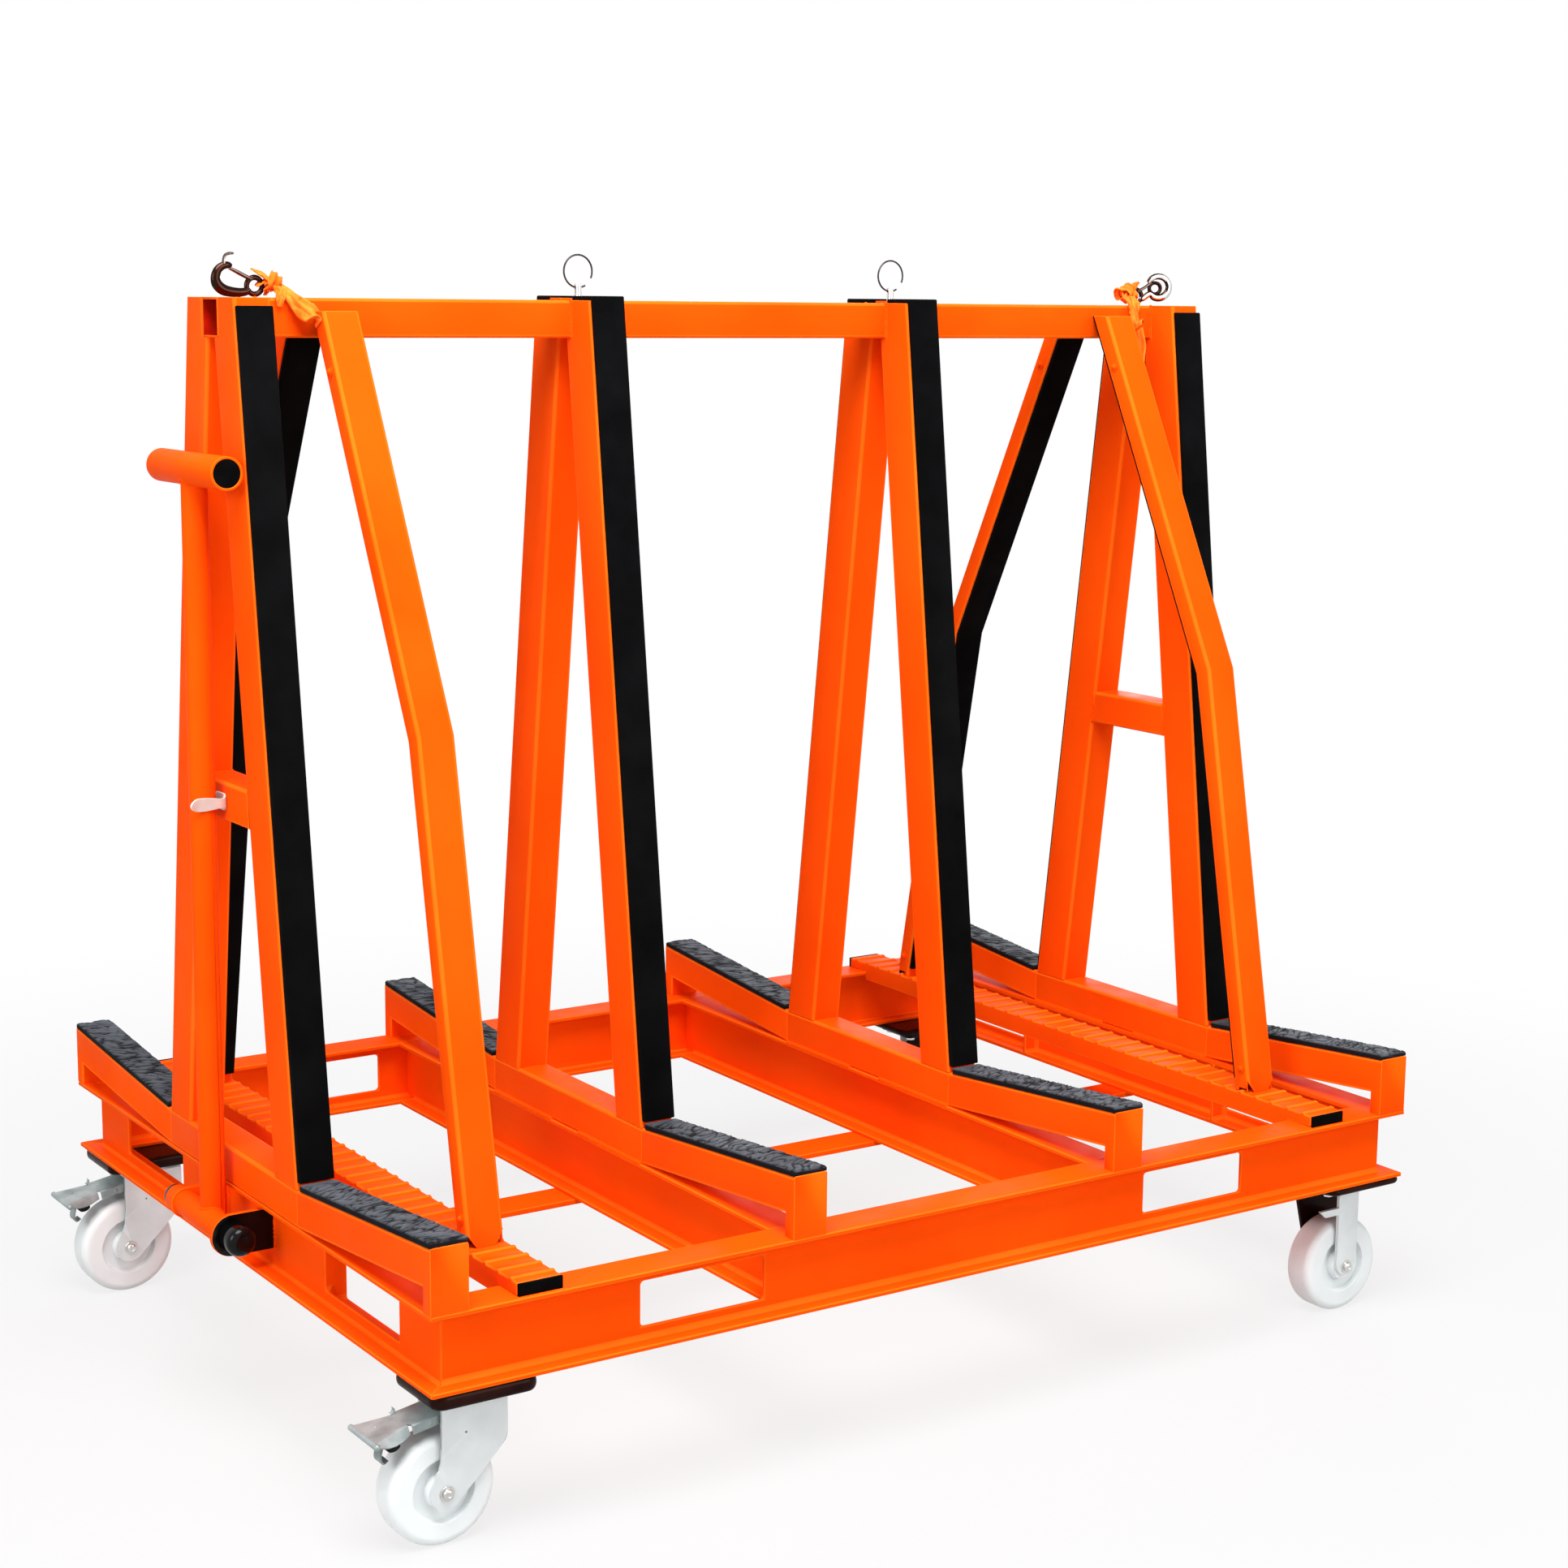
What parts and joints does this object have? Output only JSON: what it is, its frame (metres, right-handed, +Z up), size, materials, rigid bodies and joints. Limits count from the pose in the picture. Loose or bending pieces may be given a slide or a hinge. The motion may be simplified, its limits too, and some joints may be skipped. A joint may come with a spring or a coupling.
{
  "type": "slab transport cart",
  "caption": "Steel slab cart: I-beam base on casters, rubber-faced A-frame with sloped bearers, tilting safety posts on ribbed rails and a hinged tow bar.",
  "frame": {"origin": "on the floor under the middle of the cart's whole length and width, tow ears included", "axes": "+X along the cart away from the tow bar, -Y the front in the picture, +Z up"},
  "size_m": [1.641, 1.16, 1.5197],
  "materials": {
    "orange_frame": "satin powder coat",
    "pad_rubber": "matt, creased",
    "strip_rubber": "matt",
    "black_plate": "satin",
    "black_plastic": "moulded",
    "zinc_fork": "zinc plated",
    "zinc_pedal": "zinc plated",
    "fastener_steel": "zinc plated",
    "bright_steel": "polished",
    "white_nylon": "turned",
    "orange_webbing": "woven"
  },
  "bodies": {
    "cart_frame": {"front_beam": "orange_frame", "rear_beam": "orange_frame", "left_end_beam": "orange_frame", "right_end_beam": "orange_frame", "cross_beams": "orange_frame", "tie_bar": "orange_frame", "left_bearer": "orange_frame", "mid_left_bearer": "orange_frame", "mid_right_bearer": "orange_frame", "right_bearer": "orange_frame", "left_legs": "orange_frame", "mid_left_legs": "orange_frame", "mid_right_legs": "orange_frame", "right_legs": "orange_frame", "top_bar": "orange_frame", "end_ties": "orange_frame", "rails": "orange_frame", "tow_ears": "orange_frame", "bar_tabs": "orange_frame", "front_pads": "pad_rubber", "rear_pads": "pad_rubber", "front_leg_strips": "strip_rubber", "rear_leg_strips": "strip_rubber", "spacer_plates": "black_plate", "rail_plugs": "black_plastic", "swivel_heads": "zinc_fork", "fixed_forks": "zinc_fork", "caster_bolts": "fastener_steel", "fixed_axles": "fastener_steel", "pole_clip": "fastener_steel"},
    "tow_bar": {"tow_pole": "orange_frame", "tow_handle": "orange_frame", "tow_pivot_tube": "orange_frame", "tow_caps": "black_plastic"},
    "front_caster": {"front_swivel_fork": "zinc_fork", "front_swivel_axle": "fastener_steel"},
    "rear_caster": {"rear_swivel_fork": "zinc_fork", "rear_swivel_axle": "fastener_steel"},
    "front_pedal": {"front_brake_pedal": "zinc_pedal"},
    "rear_pedal": {"rear_brake_pedal": "zinc_pedal"},
    "front_left_wheel": {"front_left_wheel": "white_nylon"},
    "rear_left_wheel": {"rear_left_wheel": "white_nylon"},
    "front_right_wheel": {"front_right_wheel": "white_nylon"},
    "rear_right_wheel": {"rear_right_wheel": "white_nylon"},
    "front_left_post": {"front_left_post": "orange_frame", "front_left_post_strip": "strip_rubber", "left_hook": "bright_steel", "left_strap": "orange_webbing"},
    "front_right_post": {"front_right_post": "orange_frame", "front_right_post_strip": "strip_rubber", "right_hook": "bright_steel", "right_strap": "orange_webbing"},
    "rear_left_post": {"rear_left_post": "orange_frame", "rear_left_post_strip": "strip_rubber"},
    "rear_right_post": {"rear_right_post": "orange_frame", "rear_right_post_strip": "strip_rubber"},
    "left_pin": {"left_pull_pin": "fastener_steel", "left_pull_ring": "bright_steel"},
    "right_pin": {"right_pull_pin": "fastener_steel", "right_pull_ring": "bright_steel"}
  },
  "joints": [
    {"name": "tow_bar_fold", "type": "hinge", "parent": "cart_frame", "child": "tow_bar", "pos_m": [-0.7925, 0, 0.266], "axis": [0, -1, 0], "range_deg": [0, 100]},
    {"name": "front_caster_swivel", "type": "hinge", "parent": "cart_frame", "child": "front_caster", "pos_m": [-0.6835, -0.512, 0.18], "axis": [0, 0, 1], "continuous": true},
    {"name": "front_left_wheel_spin", "type": "hinge", "parent": "front_caster", "child": "front_left_wheel", "pos_m": [-0.7215, -0.512, 0.07], "axis": [0, 1, 0], "continuous": true},
    {"name": "front_right_wheel_spin", "type": "hinge", "parent": "cart_frame", "child": "front_right_wheel", "pos_m": [0.7505, -0.512, 0.07], "axis": [0, 1, 0], "continuous": true},
    {"name": "front_brake_press", "type": "hinge", "parent": "front_caster", "child": "front_pedal", "pos_m": [-0.7155, -0.512, 0.163], "axis": [0, -1, 0], "range_deg": [0, 10]},
    {"name": "rear_caster_swivel", "type": "hinge", "parent": "cart_frame", "child": "rear_caster", "pos_m": [-0.6835, 0.512, 0.18], "axis": [0, 0, 1], "continuous": true},
    {"name": "rear_left_wheel_spin", "type": "hinge", "parent": "rear_caster", "child": "rear_left_wheel", "pos_m": [-0.7215, 0.512, 0.07], "axis": [0, 1, 0], "continuous": true},
    {"name": "rear_right_wheel_spin", "type": "hinge", "parent": "cart_frame", "child": "rear_right_wheel", "pos_m": [0.7505, 0.512, 0.07], "axis": [0, 1, 0], "continuous": true},
    {"name": "rear_brake_press", "type": "hinge", "parent": "rear_caster", "child": "rear_pedal", "pos_m": [-0.7155, 0.512, 0.163], "axis": [0, -1, 0], "range_deg": [0, 10]},
    {"name": "front_left_post_tilt", "type": "hinge", "parent": "cart_frame", "child": "front_left_post", "pos_m": [-0.6105, -0.43778, 0.3223], "axis": [1, 0, 0], "range_deg": [0, 60]},
    {"name": "front_right_post_tilt", "type": "hinge", "parent": "cart_frame", "child": "front_right_post", "pos_m": [0.6695, -0.43778, 0.3223], "axis": [1, 0, 0], "range_deg": [0, 60]},
    {"name": "rear_left_post_tilt", "type": "hinge", "parent": "cart_frame", "child": "rear_left_post", "pos_m": [-0.6105, 0.43778, 0.3223], "axis": [-1, 0, 0], "range_deg": [0, 60]},
    {"name": "rear_right_post_tilt", "type": "hinge", "parent": "cart_frame", "child": "rear_right_post", "pos_m": [0.6695, 0.43778, 0.3223], "axis": [-1, 0, 0], "range_deg": [0, 60]},
    {"name": "left_pin_pull", "type": "slide", "parent": "cart_frame", "child": "left_pin", "axis": [0, 0, 1], "range_m": [0, 0.06]},
    {"name": "right_pin_pull", "type": "slide", "parent": "cart_frame", "child": "right_pin", "axis": [0, 0, 1], "range_m": [0, 0.06]}
  ]
}
